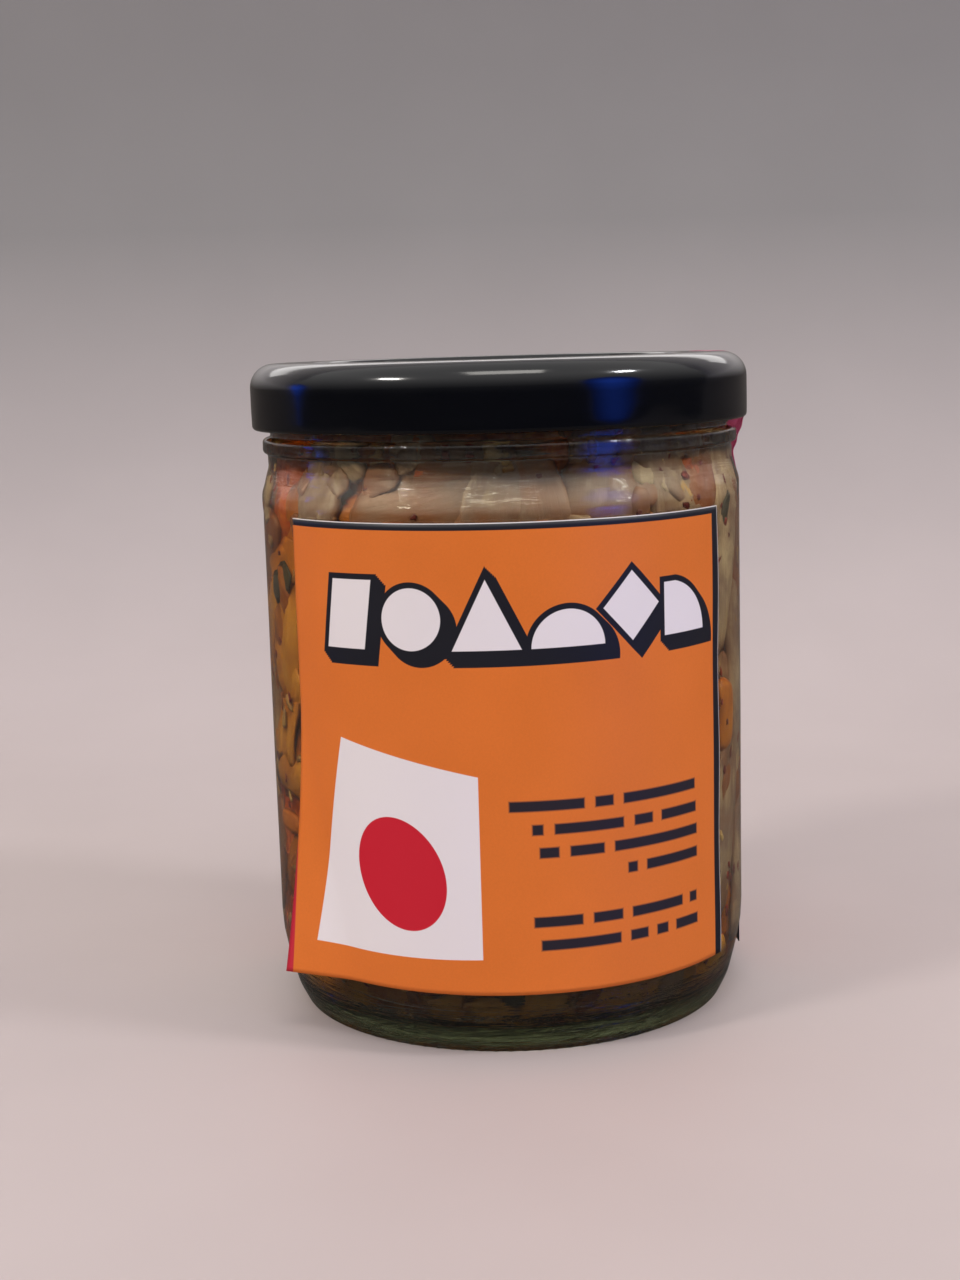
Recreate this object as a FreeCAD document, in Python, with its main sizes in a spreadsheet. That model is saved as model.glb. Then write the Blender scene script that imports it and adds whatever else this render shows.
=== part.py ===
# Kimchi jar: a wide clear jar with a twist-off steel lid, two wrapped paper
# labels, a paper seal over the lid, and the packed cabbage inside.
# Millimetres, +Z up. The origin is the centre of the foot ring, on the ground.
# The front label faces -Y. Azimuths run from -Y towards +X.

import FreeCAD, Part
import math
import os
import Sketcher
from FreeCAD import Placement, Rotation, Vector

doc = FreeCAD.newDocument("KimchiJar")

# ---------------------------------------------------------------- driving sizes
SIZES = [
    ("jar_height", 112.0, "ground to the sealing rim of the glass"),
    ("body_radius", 41.65, "outside of the glass just under the shoulder"),
    ("body_taper", 0.1, "how much slimmer the glass is above the heel"),
    ("wall", 2.7, "side wall of the glass"),
    ("heel_height", 12.6, "where the heel starts to curve in"),
    ("heel_inset", 2.3, "how far the heel has come in at its lower corner"),
    ("heel_lip", 3.2, "height of the heel's lower corner"),
    ("heel_round", 28.0, "radius that blends the wall into the heel"),
    ("foot_round", 7.0, "radius that blends the heel into the foot ring"),
    ("foot_edge_round", 0.7, "radius of the foot ring's two edges"),
    ("foot_inset", 3.9, "wall to the outer edge of the foot ring"),
    ("foot_width", 2.8, "width of the foot ring"),
    ("push_up", 1.2, "height of the hollow under the base"),
    ("floor_height", 3.9, "ground to the inside floor, at its edge"),
    ("floor_crown", 0.6, "rise of the inside floor at its middle"),
    ("inner_heel_inset", 1.2, "extra glass inside the heel's corner"),
    ("inner_heel_round", 6.5, "radius inside the heel"),
    ("waist_height", 3.65, "middle of the bead to the top of the shoulder"),
    ("shoulder_rise", 4.2, "height of the shoulder"),
    ("shoulder_inset", 1.25, "body to waist"),
    ("shoulder_round", 4.0, "radius at the foot of the shoulder"),
    ("waist_round", 2.6, "radius where the shoulder meets the waist"),
    ("bead_drop", 13.55, "rim to the middle of the transfer bead"),
    ("bead_round", 1.4, "half the bead's height"),
    ("bead_stand", 0.85, "how far the bead stands out of the waist"),
    ("finish_step", 0.5, "waist to the threaded wall"),
    ("finish_wall", 2.8, "glass at the mouth"),
    ("rim_round", 0.9, "radius of the sealing rim's edges"),
    ("thread_round", 0.9, "radius of a thread ridge's section"),
    ("thread_stand", 0.95, "how far a thread ridge stands out"),
    ("thread_arc", 52.0, "degrees that one ridge runs round the mouth"),
    ("thread_fall", 5.0, "height that one ridge loses along its run"),
    ("thread_count", 6, "ridges round the mouth, and lugs on the lid"),
    ("lid_skirt_clearance", 2.7, "threaded wall to the inside of the skirt"),
    ("lid_steel", 0.4, "thickness of the lid"),
    ("lid_bead_gap", 1.35, "top of the bead to the lower edge of the lid's curl"),
    ("lid_round", 4.1, "radius of the lid's top edge"),
    ("lid_crest_width", 7.0, "flat top of the rim, in from the round"),
    ("lid_recess", 1.3, "crest to the sunk panel"),
    ("lid_recess_slope", 1.2, "width of the slope down to the panel"),
    ("panel_margin", 3.95, "foot of the slope to the ring step in the panel"),
    ("panel_step", 0.45, "height of the ring step"),
    ("curl_round", 0.75, "radius of the rolled lower edge"),
    ("lid_turn", 6.0, "degrees that the lid and its ridges are turned"),
    ("lug_width", 8.0, "width of a lug"),
    ("lug_height", 1.1, "height of a lug"),
    ("lug_lift", 0.15, "lower edge of the curl to the underside of a lug"),
    ("lug_clearance", 0.45, "lug to the threaded wall"),
    ("lug_ridge_gap", 0.6, "lug to the ridge above it"),
    ("press_width", 17.0, "width of the dent that presses a lug in"),
    ("press_height", 5.2, "height of that dent"),
    ("press_depth", 0.22, "depth of that dent"),
    ("paper", 0.16, "thickness of labels and seal"),
    ("paper_gap", 0.06, "glue under the paper"),
    ("label_arc", 112.6, "degrees that the front label wraps"),
    ("label_turn", 0.7, "azimuth of the front label's middle"),
    ("label_foot", 11.2, "ground to the front label's lower edge"),
    ("label_head_gap", 3.1, "foot of the shoulder to the label's top edge"),
    ("lift_arc", 17.6, "degrees of the lower edge that have come away"),
    ("lift_height", 46.0, "length of the left edge that has come away"),
    ("lift_out", 5.1, "how far the loose corner stands off"),
    ("ripple", 0.22, "height of the ripple along the label's right edge"),
    ("back_arc", 160.0, "degrees that the back label wraps"),
    ("back_turn", 172.5, "azimuth of the back label's middle"),
    ("back_foot", 4.8, "ground to the back label's lower edge"),
    ("back_head_gap", 5.0, "end of the seal to the back label's top edge"),
    ("strip_width", 14.5, "width of the paper seal"),
    ("strip_turn", 99.0, "azimuth of the seal's middle"),
    ("strip_on_crest", 2.2, "length of the seal on the lid's crest"),
    ("strip_tail", 12.0, "length of the seal below the shoulder"),
    ("strip_lift", 0.55, "seal to the waist where it bridges the neck"),
    ("fill_gap", 0.05, "packed cabbage to the glass"),
    ("fill_drop", 7.0, "rim to the mean level of the cabbage"),
    ("fill_swell", 1.3, "height of the lumps on top of the cabbage"),
    ("fill_pitch", 15.0, "spacing of those lumps"),
]

sheet = doc.addObject("Spreadsheet::Sheet", "Sizes")
for row, (alias, value, meaning) in enumerate(SIZES, start=1):
    sheet.set(f"A{row}", alias)
    sheet.set(f"B{row}", str(value))
    sheet.set(f"C{row}", meaning)
    sheet.setAlias(f"B{row}", alias)
doc.recompute()


def size(expression):
    """Number that an expression on the sheet's cells gives."""
    return float(sheet.evalExpression(expression))


def cells(expression):
    """The same expression as another object has to write it."""
    words = sorted((alias for alias, _, _ in SIZES), key=len, reverse=True)
    out = ""
    position = 0
    while position < len(expression):
        for word in words:
            if expression.startswith(word, position):
                out += "Sizes." + word
                position += len(word)
                break
        else:
            out += expression[position]
            position += 1
    return out


# Levels and radii that several pieces share, written in the sheet's cells.
LIP_RADIUS = "(body_radius - body_taper)"
HEEL_RADIUS = "(body_radius - body_taper - heel_inset)"
FOOT_RADIUS = "(body_radius - body_taper - foot_inset)"
SHOULDER_FOOT = "(jar_height - bead_drop - waist_height - shoulder_rise)"
SHOULDER_TOP = "(jar_height - bead_drop - waist_height)"
WAIST_RADIUS = "(body_radius - shoulder_inset)"
FINISH_RADIUS = "(body_radius - shoulder_inset - finish_step)"
BORE_RADIUS = "(body_radius - shoulder_inset - finish_step - finish_wall)"
BEAD_LEVEL = "(jar_height - bead_drop)"
LID_INSIDE = "(body_radius - shoulder_inset - finish_step + lid_skirt_clearance)"
LID_RADIUS = "(body_radius - shoulder_inset - finish_step + lid_skirt_clearance + lid_steel)"
LID_CREST = "(jar_height + lid_steel)"
LID_EDGE = "(jar_height - bead_drop + bead_round + lid_bead_gap)"
CREST_OUTER = f"({LID_RADIUS} - lid_round)"
CREST_INNER = f"({LID_RADIUS} - lid_round - lid_crest_width)"
PANEL_RADIUS = f"({CREST_INNER} - lid_recess_slope)"
PANEL_RING = f"({CREST_INNER} - lid_recess_slope - panel_margin - panel_step)"
PANEL_LEVEL = f"({LID_CREST} - lid_recess)"
LUG_FOOT = f"({LID_EDGE} + lug_lift)"
LUG_INNER = f"({FINISH_RADIUS} + lug_clearance)"
THREAD_LEVEL = f"({LUG_FOOT} + lug_height + lug_ridge_gap + thread_round)"
STRIP_END = f"({SHOULDER_FOOT} - strip_tail)"


# ---------------------------------------------------------------- small helpers
def origin_plane(body, role):
    """The body's own origin plane with that role."""
    return [item for item in body.Origin.OriginFeatures if item.Role == role][0]


def new_body(label):
    body = doc.addObject("PartDesign::Body", label.title().replace("_", ""))
    body.Label = label
    return body


def new_sketch(body, name, role):
    sketch = body.newObject("Sketcher::SketchObject", name)
    sketch.AttachmentSupport = [(origin_plane(body, role), "")]
    sketch.MapMode = "FlatFace"
    return sketch


def bind_length(sketch, kind, geometry, vertex, expression):
    """Hold one coordinate of a sketch point to the sheet; zero is the axis itself."""
    value = size(expression)
    if abs(value) < 1e-9:
        axis = -2 if kind == "DistanceX" else -1
        sketch.addConstraint(Sketcher.Constraint("PointOnObject", geometry, vertex, axis))
        return
    index = sketch.addConstraint(Sketcher.Constraint(kind, -1, 1, geometry, vertex, value))
    sketch.setExpression(f"Constraints[{index}]", cells(expression))


def polygon(sketch, corners):
    """Closed outline whose corners are pairs of expressions: radius and height."""
    points = [Vector(size(across), size(up), 0) for across, up in corners]
    count = len(points)
    lines = [Part.LineSegment(points[i], points[(i + 1) % count]) for i in range(count)]
    sketch.addGeometry(lines, False)
    for i in range(count):
        sketch.addConstraint(Sketcher.Constraint("Coincident", i, 2, (i + 1) % count, 1))
    for i, (across, up) in enumerate(corners):
        bind_length(sketch, "DistanceX", i, 1, across)
        bind_length(sketch, "DistanceY", i, 1, up)


def circle(sketch, across, up, radius):
    """Circle held to the sheet by its centre and radius."""
    centre = Vector(size(across), size(up), 0)
    sketch.addGeometry(Part.Circle(centre, Vector(0, 0, 1), size(radius)), False)
    bind_length(sketch, "DistanceX", 0, 3, across)
    bind_length(sketch, "DistanceY", 0, 3, up)
    index = sketch.addConstraint(Sketcher.Constraint("Radius", 0, size(radius)))
    sketch.setExpression(f"Constraints[{index}]", cells(radius))


def revolve(body, name, sketch, turn="360"):
    feature = body.newObject("PartDesign::Revolution", name)
    feature.Profile = sketch
    feature.ReferenceAxis = (sketch, ["V_Axis"])
    feature.setExpression("Angle", cells(turn))
    sketch.Visibility = False
    doc.recompute()
    return feature


def round_rings(body, name, base, rings, radius):
    """Fillet the circular edges that pass through the given radius and height."""
    wanted = [(size(across), size(up)) for across, up in rings]
    names = []
    for number, edge in enumerate(base.Shape.Edges, start=1):
        if not isinstance(edge.Curve, Part.Circle):
            continue
        here = (edge.Curve.Radius, edge.Curve.Center.z)
        if any(math.dist(here, place) < 1e-3 for place in wanted):
            names.append(f"Edge{number}")
    if len(names) < len(rings):
        raise RuntimeError(f"{name}: found {len(names)} of {len(rings)} edges")
    feature = body.newObject("PartDesign::Fillet", name)
    feature.Base = (base, names)
    feature.setExpression("Radius", cells(radius))
    doc.recompute()
    return feature


def around(radius, azimuth, height):
    """Point at an azimuth in degrees, 0 at the front."""
    angle = math.radians(azimuth)
    return Vector(radius * math.sin(angle), -radius * math.cos(angle), height)


def span(start, end, count):
    """Evenly spaced numbers from start to end, both included."""
    return [start + (end - start) * i / (count - 1) for i in range(count)]


# ---------------------------------------------------------------- glass
# One revolved wall: hollow base, foot ring, heel, tapered body, shoulder, waist
# and mouth, then back down the inside to the crowned floor.
glass = new_body("glass_wall")

INSIDE_LIP = (f"({LIP_RADIUS} - wall)", "heel_height")
INSIDE_HEEL = (f"({HEEL_RADIUS} - wall - inner_heel_inset)", "floor_height")
INSIDE_FOOT = ("(body_radius - wall)", f"({SHOULDER_FOOT} - wall / 2)")
INSIDE_TOP = (BORE_RADIUS, f"({SHOULDER_TOP} - wall / 2)")

wall_sketch = new_sketch(glass, "WallProfile", "XZ_Plane")
polygon(wall_sketch, [
    ("0", "push_up"),
    (f"{FOOT_RADIUS} - foot_width - push_up", "push_up"),
    (f"{FOOT_RADIUS} - foot_width", "0"),
    (FOOT_RADIUS, "0"),
    (HEEL_RADIUS, "heel_lip"),
    (LIP_RADIUS, "heel_height"),
    ("body_radius", SHOULDER_FOOT),
    (WAIST_RADIUS, SHOULDER_TOP),
    (WAIST_RADIUS, BEAD_LEVEL),
    (FINISH_RADIUS, BEAD_LEVEL),
    (FINISH_RADIUS, "jar_height"),
    (BORE_RADIUS, "jar_height"),
    INSIDE_TOP,
    INSIDE_FOOT,
    INSIDE_LIP,
    INSIDE_HEEL,
    ("0", "floor_height + floor_crown"),
])
wall_turned = revolve(glass, "Wall", wall_sketch)

bead_sketch = new_sketch(glass, "BeadProfile", "XZ_Plane")
circle(bead_sketch, f"{WAIST_RADIUS} + bead_stand - bead_round", BEAD_LEVEL, "bead_round")
revolve(glass, "Bead", bead_sketch)

glass_rounds = [
    ("HeelRound", [(LIP_RADIUS, "heel_height")], "heel_round"),
    ("FootRound", [(HEEL_RADIUS, "heel_lip")], "foot_round"),
    ("ShoulderRound", [("body_radius", SHOULDER_FOOT)], "shoulder_round"),
    ("WaistRound", [(WAIST_RADIUS, SHOULDER_TOP)], "waist_round"),
    ("InnerHeelRound", [INSIDE_HEEL], "inner_heel_round"),
    ("InnerShoulderRound", [INSIDE_FOOT, INSIDE_TOP], "shoulder_round"),
    ("FootEdgeRound", [(FOOT_RADIUS, "0"), (f"{FOOT_RADIUS} - foot_width", "0")], "foot_edge_round"),
    ("RimRound", [(FINISH_RADIUS, "jar_height"), (BORE_RADIUS, "jar_height")], "rim_round"),
]
for name, rings, radius in glass_rounds:
    round_rings(glass, name, glass.Tip, rings, radius)

# Thread ridges: short lengths of a ring, each tipped so that it falls along its run.
ridges = []
for number in range(int(size("thread_count"))):
    ridge = doc.addObject("Part::Torus", f"Ridge{number}")
    ridge.setExpression("Radius1", cells(f"{FINISH_RADIUS} + thread_stand - thread_round"))
    ridge.setExpression("Radius2", cells("thread_round"))
    ridge.setExpression("Angle3", cells("thread_arc"))
    # The run is centred on +X, tipped about X, then turned to its place.
    centred = Rotation(Vector(0, 0, 1), -size("thread_arc") / 2)
    run = math.radians(size("thread_arc")) * size(FINISH_RADIUS)
    tipped = Rotation(Vector(1, 0, 0), math.degrees(math.atan2(size("thread_fall"), run)))
    turned = Rotation(Vector(0, 0, 1), size("lid_turn") + 360 / size("thread_count") * number)
    ridge.Placement = Placement(Vector(0, 0, 0), turned * tipped * centred)
    ridge.setExpression("Placement.Base.z", cells(THREAD_LEVEL))
    ridges.append(ridge)

glass_jar = doc.addObject("Part::MultiFuse", "GlassJar")
glass_jar.Shapes = [glass] + ridges
glass_jar.Label = "glass_jar"

# ---------------------------------------------------------------- lid
# Pressed steel: skirt, rounded edge, crest, sunk panel with a ring step, and a
# rolled lower edge. The crest's underside seats on the glass rim.
lid = new_body("lid")

top_path = [
    (LID_RADIUS, f"{LID_EDGE} + curl_round"),
    (LID_RADIUS, LID_CREST),
    (CREST_INNER, LID_CREST),
    (PANEL_RADIUS, PANEL_LEVEL),
    (f"{PANEL_RING} + panel_step", PANEL_LEVEL),
    (PANEL_RING, f"{PANEL_LEVEL} + panel_step"),
    ("0", f"{PANEL_LEVEL} + panel_step"),
]
under_path = [
    ("0", f"{PANEL_LEVEL} + panel_step - lid_steel"),
    (f"{PANEL_RING} - lid_steel", f"{PANEL_LEVEL} + panel_step - lid_steel"),
    (f"{PANEL_RING} + panel_step - lid_steel", f"{PANEL_LEVEL} - lid_steel"),
    (f"{PANEL_RADIUS} + lid_steel", f"{PANEL_LEVEL} - lid_steel"),
    (f"{CREST_INNER} + lid_steel", "jar_height"),
    (LID_INSIDE, "jar_height"),
    (LID_INSIDE, f"{LID_EDGE} + curl_round"),
]
lid_sketch = new_sketch(lid, "LidProfile", "XZ_Plane")
polygon(lid_sketch, top_path + under_path)
revolve(lid, "Pressing", lid_sketch)

curl_sketch = new_sketch(lid, "CurlProfile", "XZ_Plane")
circle(curl_sketch, f"{LID_RADIUS} - curl_round", f"{LID_EDGE} + curl_round", "curl_round")
revolve(lid, "Curl", curl_sketch)

lid_rounds = [
    ("EdgeRound", [(LID_RADIUS, LID_CREST)], "lid_round"),
    ("EdgeRoundInside", [(LID_INSIDE, "jar_height")], "lid_round - lid_steel"),
    ("CrestRound", [(CREST_INNER, LID_CREST)], "lid_recess / 2"),
]
for name, rings, radius in lid_rounds:
    round_rings(lid, name, lid.Tip, rings, radius)

# A lug is a pad behind the curl, under a thread ridge; a shallow dent outside
# shows where the press pushed it in. Both repeat round the lid.
lug_sketch = new_sketch(lid, "LugOutline", "XY_Plane")
lug_sketch.AttachmentOffset = Placement(Vector(0, 0, 0), Rotation(Vector(0, 0, 1), size("lid_turn")))
lug_sketch.setExpression("AttachmentOffset.Base.z", cells(LUG_FOOT))
polygon(lug_sketch, [
    (LUG_INNER, "lug_width / 2"),
    (LUG_INNER, "0 - lug_width / 2"),
    (f"{LID_INSIDE} + lid_steel / 4", "0 - lug_width / 2"),
    (f"{LID_INSIDE} + lid_steel / 4", "lug_width / 2"),
])
doc.recompute()
lug = lid.newObject("PartDesign::Pad", "Lug")
lug.Profile = lug_sketch
lug.setExpression("Length", cells("lug_height"))
doc.recompute()

lugs = lid.newObject("PartDesign::PolarPattern", "Lugs")
lugs.Originals = [lug]
lugs.Axis = (lug_sketch, ["N_Axis"])
lugs.Angle = 360
lugs.setExpression("Occurrences", cells("thread_count"))
lid.Tip = lugs
doc.recompute()

dents = []
for number in range(int(size("thread_count"))):
    dent = doc.addObject("Part::Ellipsoid", f"Dent{number}")
    dent.setExpression("Radius1", cells("press_height / 2"))
    dent.setExpression("Radius2", cells("press_depth * 2"))
    dent.setExpression("Radius3", cells("press_width / 2"))
    turn = size("lid_turn") + 360 / size("thread_count") * number
    spot = around(size(f"{LID_RADIUS} + press_depth"), turn + 90, size(LUG_FOOT))
    dent.Placement = Placement(spot, Rotation(Vector(0, 0, 1), turn))
    dents.append(dent)
dent_tools = doc.addObject("Part::MultiFuse", "Dents")
dent_tools.Shapes = dents
lid_pressed = doc.addObject("Part::Cut", "LidPressed")
lid_pressed.Base = lid
lid_pressed.Tool = dent_tools
lid.Label = "lid_blank"
lid_pressed.Label = "lid"

# ---------------------------------------------------------------- packed cabbage
# Fills the glass up into the mouth; its top is a field of soft lumps.
filling = new_body("filling_blank")
FILL_CEILING = "(jar_height - fill_drop + 3 * fill_swell)"
fill_sketch = new_sketch(filling, "FillProfile", "XZ_Plane")
polygon(fill_sketch, [
    ("0", FILL_CEILING),
    (f"{BORE_RADIUS} - fill_gap", FILL_CEILING),
    (f"{INSIDE_TOP[0]} - fill_gap", INSIDE_TOP[1]),
    (f"{INSIDE_FOOT[0]} - fill_gap", INSIDE_FOOT[1]),
    (f"{INSIDE_LIP[0]} - fill_gap", INSIDE_LIP[1]),
    (f"{INSIDE_HEEL[0]} - fill_gap", f"{INSIDE_HEEL[1]} + fill_gap"),
    ("0", "floor_height + floor_crown + fill_gap"),
])
revolve(filling, "Filling", fill_sketch)
round_rings(filling, "FillHeelRound", filling.Tip, [
    (f"{INSIDE_HEEL[0]} - fill_gap", f"{INSIDE_HEEL[1]} + fill_gap"),
], "inner_heel_round - fill_gap")
round_rings(filling, "FillShoulderRound", filling.Tip, [
    (f"{INSIDE_TOP[0]} - fill_gap", INSIDE_TOP[1]),
    (f"{INSIDE_FOOT[0]} - fill_gap", INSIDE_FOOT[1]),
], "shoulder_round")


def lump_height(x, y):
    """Height of the cabbage's top at a place: three crossing waves of unlike length."""
    wave = 2 * math.pi / size("fill_pitch")
    ridges_across = math.sin(wave * x + 0.7 * math.sin(0.5 * wave * y))
    ridges_along = math.sin(0.8 * wave * y + 1.1)
    ridges_aslant = math.sin(0.6 * wave * (x + y) + 2.3)
    mixed = (ridges_across + ridges_along + ridges_aslant) / 3
    return size("jar_height - fill_drop") + size("fill_swell") * mixed


reach = size(BORE_RADIUS) + 4
grid = span(-reach, reach, 23)
surface = Part.BSplineSurface()
surface.interpolate([[Vector(x, y, lump_height(x, y)) for y in grid] for x in grid])
sky = doc.addObject("Part::Feature", "Sky")
sky.Shape = surface.toShape().extrude(Vector(0, 0, size("jar_height")))
sky.Placement = Placement()

kimchi = doc.addObject("Part::Cut", "Kimchi")
kimchi.Base = filling
kimchi.Tool = sky
kimchi.Label = "kimchi"


# ---------------------------------------------------------------- labels
def glass_radius(height):
    """Outside of the straight part of the glass; below the heel it stays as at the heel."""
    low = size("heel_height")
    high = size(SHOULDER_FOOT)
    share = min(max((height - low) / (high - low), 0), 1)
    return size(LIP_RADIUS) + size("body_taper") * share


def wrapped_sheet(name, start, end, foot, head, stand_off):
    """Paper round the glass; stand_off(across, up) lifts it, both running 0 to 1."""
    columns = 49
    rows = 25
    faces = []
    for extra in (0, size("paper")):
        points = []
        for across in span(0, 1, columns):
            azimuth = start + (end - start) * across
            column = []
            for up in span(0, 1, rows):
                height = foot + (head - foot) * up
                radius = glass_radius(height) + size("paper_gap") + stand_off(across, up) + extra
                column.append(around(radius, azimuth, height))
            points.append(column)
        sheet_surface = Part.BSplineSurface()
        sheet_surface.interpolate(points)
        faces.append(sheet_surface.toShape())
    inner, outer = faces
    rims = [Part.makeRuledSurface(a, b) for a, b in zip(inner.Edges, outer.Edges)]
    shell = Part.makeShell([inner, outer] + rims)
    shell.sewShape()
    solid = Part.makeSolid(shell)
    if solid.Volume < 0:
        solid.reverse()
    feature = doc.addObject("Part::Feature", name.title().replace("_", ""))
    feature.Shape = solid
    feature.Placement = Placement()
    feature.Label = name
    return feature


label_start = size("label_turn - label_arc / 2")
label_end = size("label_turn + label_arc / 2")
label_foot = size("label_foot")
label_head = size(f"{SHOULDER_FOOT} - label_head_gap")


def front_stand_off(across, up):
    """Loose lower corner on the left, and a faint ripple up the right edge."""
    along_foot = across * size("label_arc / lift_arc")
    along_side = up * (label_head - label_foot) / size("lift_height")
    loose = max(0, 1 - along_foot - along_side)
    corner = size("lift_out") * loose ** 1.65
    edge = max(0, (across - 0.93) / 0.07)
    wave = 0.5 + 0.5 * math.sin(2 * math.pi * 2.6 * up + 0.6)
    return corner + size("ripple") * edge * edge * wave


front_label = wrapped_sheet(
    "front_label", label_start, label_end, label_foot, label_head, front_stand_off)

back_start = size("back_turn - back_arc / 2")
back_end = size("back_turn + back_arc / 2")
back_head = size(f"{STRIP_END} - back_head_gap")


def back_stand_off(across, up):
    """The back label lies flat."""
    return 0


back_label = wrapped_sheet(
    "back_label", back_start, back_end, size("back_foot"), back_head, back_stand_off)

# ---------------------------------------------------------------- paper seal
# Runs from the lid's crest over its edge and down the skirt, bridges the neck to
# the shoulder and ends on the glass.
strip = new_body("seal_strip")
strip_sketch = new_sketch(strip, "StripProfile", "XZ_Plane")
ON_LID = f"({LID_RADIUS} + paper_gap)"
ON_CREST = f"({LID_CREST} + paper_gap)"
ON_WAIST = f"({WAIST_RADIUS} + strip_lift)"
ON_BODY = "(body_radius + paper_gap + paper / 4)"
CREST_END = f"({CREST_OUTER} - strip_on_crest)"
lower_side = [
    (CREST_END, ON_CREST),
    (ON_LID, ON_CREST),
    (ON_LID, LID_EDGE),
    (ON_WAIST, SHOULDER_TOP),
    (ON_BODY, SHOULDER_FOOT),
    (ON_BODY, STRIP_END),
]
upper_side = [(f"{across} + paper", up) for across, up in reversed(lower_side[1:])]
upper_side[-1] = (f"{ON_LID} + paper", f"{ON_CREST} + paper")
upper_side.append((CREST_END, f"{ON_CREST} + paper"))
polygon(strip_sketch, lower_side + upper_side)
revolve(strip, "Strip", strip_sketch, f"strip_width / {LID_RADIUS} * 180 / pi")
strip_rounds = [
    ("StripRoundInside", [(ON_LID, ON_CREST)], "lid_round + paper_gap"),
    ("StripRound", [(f"{ON_LID} + paper", f"{ON_CREST} + paper")], "lid_round + paper_gap + paper"),
]
for name, rings, radius in strip_rounds:
    round_rings(strip, name, strip.Tip, rings, radius)
# The revolved strip starts on +X, a quarter turn from the front.
strip_half = size(f"strip_width / {LID_RADIUS} * 90 / pi")
strip.Placement = Placement(
    Vector(0, 0, 0), Rotation(Vector(0, 0, 1), size("strip_turn") - 90 - strip_half))

# ---------------------------------------------------------------- checks and files
doc.recompute()
for item in doc.Objects:
    if "Invalid" in item.State or "Error" in item.State:
        raise RuntimeError(f"{item.Label} failed: {item.State}")

pieces = [glass_jar, lid_pressed, kimchi, front_label, back_label, strip]
for piece in pieces:
    shape = piece.Shape
    if shape.isNull() or not shape.isValid() or len(shape.Solids) != 1:
        raise RuntimeError(f"{piece.Label} isn't one sound solid")

os.makedirs("parts", exist_ok=True)
for piece in pieces:
    piece.Shape.Solids[0].exportStep(f"parts/{piece.Label}.step")
    box = piece.Shape.BoundBox
    print(f"{piece.Label}: {piece.Shape.Volume / 1000:.2f} ml,",
          f"x {box.XMin:.2f} to {box.XMax:.2f}, y {box.YMin:.2f} to {box.YMax:.2f},",
          f"z {box.ZMin:.2f} to {box.ZMax:.2f}")
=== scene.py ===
# %% [markdown]
# # A full jar of kimchi
# The real thing is a wide glass jar, packed to the mouth with fermented cabbage and shut by a black
# twist-off lid. It wears an orange paper label, a second label behind, and a dark red paper seal.
# The CAD model gives the true sizes, so it comes first, and everything made here is fitted to it.

# %% Load the frame
import math

import bmesh
import bpy
import numpy as np
from mathutils import Matrix, Vector


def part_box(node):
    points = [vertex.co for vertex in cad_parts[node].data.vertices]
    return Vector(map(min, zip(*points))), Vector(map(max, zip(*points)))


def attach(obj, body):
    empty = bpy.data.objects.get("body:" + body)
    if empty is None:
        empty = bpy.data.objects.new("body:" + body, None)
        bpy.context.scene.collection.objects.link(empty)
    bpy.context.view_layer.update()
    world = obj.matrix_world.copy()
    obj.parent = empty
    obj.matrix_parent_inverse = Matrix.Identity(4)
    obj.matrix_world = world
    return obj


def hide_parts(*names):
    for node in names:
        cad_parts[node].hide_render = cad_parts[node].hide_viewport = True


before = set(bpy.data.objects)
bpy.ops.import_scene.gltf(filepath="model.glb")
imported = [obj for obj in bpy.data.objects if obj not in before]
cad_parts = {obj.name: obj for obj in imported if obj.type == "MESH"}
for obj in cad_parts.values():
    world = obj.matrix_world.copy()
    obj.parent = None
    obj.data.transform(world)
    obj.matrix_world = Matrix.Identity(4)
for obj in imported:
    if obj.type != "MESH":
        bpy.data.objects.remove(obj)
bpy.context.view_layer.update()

print("frame holds", ", ".join(sorted(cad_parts)))

# %% [markdown]
# ## Sizes
# Jar makers work in millimetres, so this file does too, and turns them into metres at the last
# moment. What the frame can tell is read from it. The rest repeats the names of the part's own sizes.

# %% Sizes in millimetres
MM = 0.001


def extent(node):
    """Lowest and highest corner of a CAD node, in millimetres."""
    low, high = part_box(node)
    return low / MM, high / MM


RIM = extent("glass_jar")[1].z
BODY = extent("glass_jar")[1].x
LID_EDGE = extent("lid")[0].z
LID_CREST = extent("lid")[1].z
LID_RADIUS = extent("lid")[1].x
LABEL_FOOT = extent("front_label")[0].z
LABEL_HEAD = extent("front_label")[1].z
BACK_FOOT = extent("back_label")[0].z
BACK_HEAD = extent("back_label")[1].z
SEAL_FOOT = extent("seal_strip")[0].z

WALL = 2.7
LIP = BODY - 0.1
HEEL = LIP - 2.3
FOOT = LIP - 3.9
SHOULDER_FOOT = RIM - 21.4
SHOULDER_TOP = RIM - 17.2
WAIST = BODY - 1.25
BEAD = RIM - 13.55
FINISH = WAIST - 0.5
BORE = FINISH - 2.8
THREAD_LEVEL = LID_EDGE + 2.75
FIRST_LUG = 36
LUGS = 6
print(f"jar {RIM:.1f} mm high, {2 * BODY:.1f} mm across; lid {2 * LID_RADIUS:.1f} mm across")

# %% [markdown]
# ## Camera
# The jar was seen from about a third of a metre away, from just above the level of its lid, by a
# hand that was not quite straight. The camera is built from those facts: where the eye is, how far
# it looks down, and how far it leans. It comes first, so that every later step can be looked at.

# %% Camera
EYE = Vector((-4.39, -331.6, 115.4)) * MM
LOOK_DOWN = math.radians(9.05)
LEAN = math.radians(-1.66)

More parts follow.
